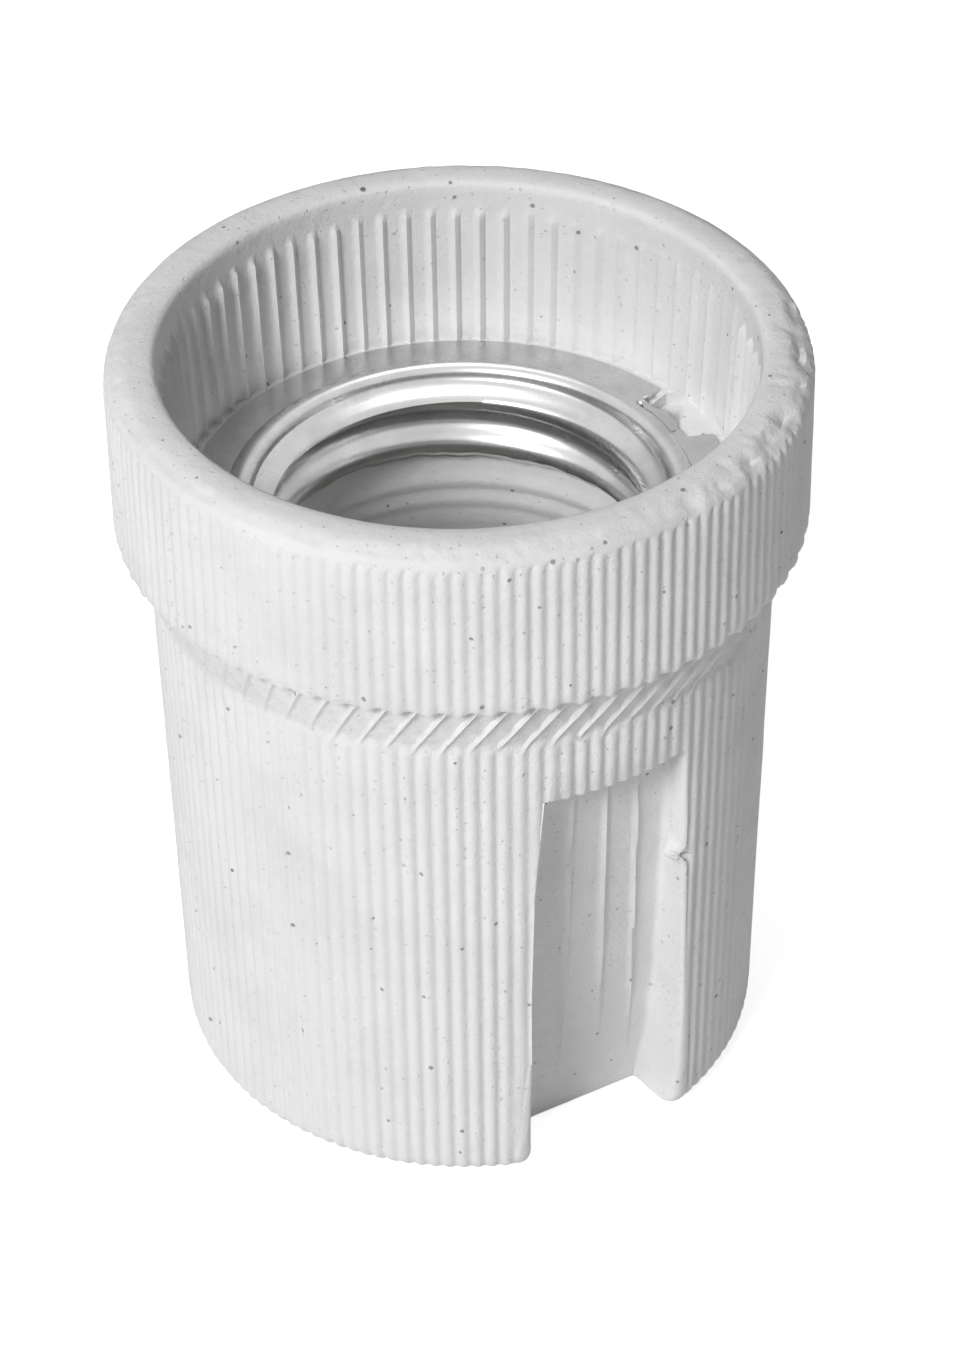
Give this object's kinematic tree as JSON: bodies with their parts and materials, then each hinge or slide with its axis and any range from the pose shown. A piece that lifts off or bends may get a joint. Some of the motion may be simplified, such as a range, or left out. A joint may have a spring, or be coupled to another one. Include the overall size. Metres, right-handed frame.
{
  "type": "lamp holder",
  "caption": "Porcelain screw lamp holder with a reeded collar and body, pressed screw shell, sprung centre contact and screw terminals in the base.",
  "frame": {"origin": "centre of the base plane, on the screw axis", "axes": "+Z along the screw axis, out of the mouth where the lamp goes in; -Y and +Y out of the two side recesses; +X towards the neutral terminal"},
  "size_m": [0.046, 0.046, 0.055],
  "materials": {
    "porcelain": "unglazed, fine grained with small dark specks",
    "shell_sheet": "bright rolled sheet",
    "brass": "stamped, slightly dull",
    "spring_steel": "drawn wire",
    "plated_steel": "zinc plated"
  },
  "bodies": {
    "holder": {"porcelain_body": "porcelain", "screw_shell": "shell_sheet", "contact_cup": "brass", "contact_spring": "spring_steel", "contact_rivet": "brass", "live_link": "brass", "neutral_link": "brass", "live_terminal": "brass", "live_terminal_rivet": "brass", "neutral_terminal": "brass", "neutral_terminal_rivet": "brass"},
    "button": {"contact_button": "brass"},
    "live_washer": {"live_clamp_washer": "plated_steel"},
    "live_screw": {"live_terminal_screw": "plated_steel"},
    "neutral_washer": {"neutral_clamp_washer": "plated_steel"},
    "neutral_screw": {"neutral_terminal_screw": "plated_steel"}
  },
  "joints": [
    {"name": "contact_press", "type": "slide", "parent": "holder", "child": "button", "axis": [0, 0, -1], "range_m": [0, 0.0012], "stiffness_N_per_m": 3000, "springref_m": -0.0013, "deforming": ["contact_spring"]},
    {"name": "live_washer_travel", "type": "slide", "parent": "holder", "child": "live_washer", "axis": [0, 0, -1], "range_m": [0, 0.0018]},
    {"name": "live_screw_turn", "type": "hinge", "parent": "live_washer", "child": "live_screw", "pos_m": [-0.0117, 0, 0.0084], "axis": [0, 0, -1], "range_deg": [0, 1080]},
    {"name": "neutral_washer_travel", "type": "slide", "parent": "holder", "child": "neutral_washer", "axis": [0, 0, -1], "range_m": [0, 0.0018]},
    {"name": "neutral_screw_turn", "type": "hinge", "parent": "neutral_washer", "child": "neutral_screw", "pos_m": [0.0117, 0, 0.0084], "axis": [0, 0, -1], "range_deg": [0, 1080]}
  ],
  "couplings": [
    {"joint": "live_screw_turn", "follows": "live_washer_travel", "rad_per_m": 10472},
    {"joint": "neutral_screw_turn", "follows": "neutral_washer_travel", "rad_per_m": 10472}
  ]
}
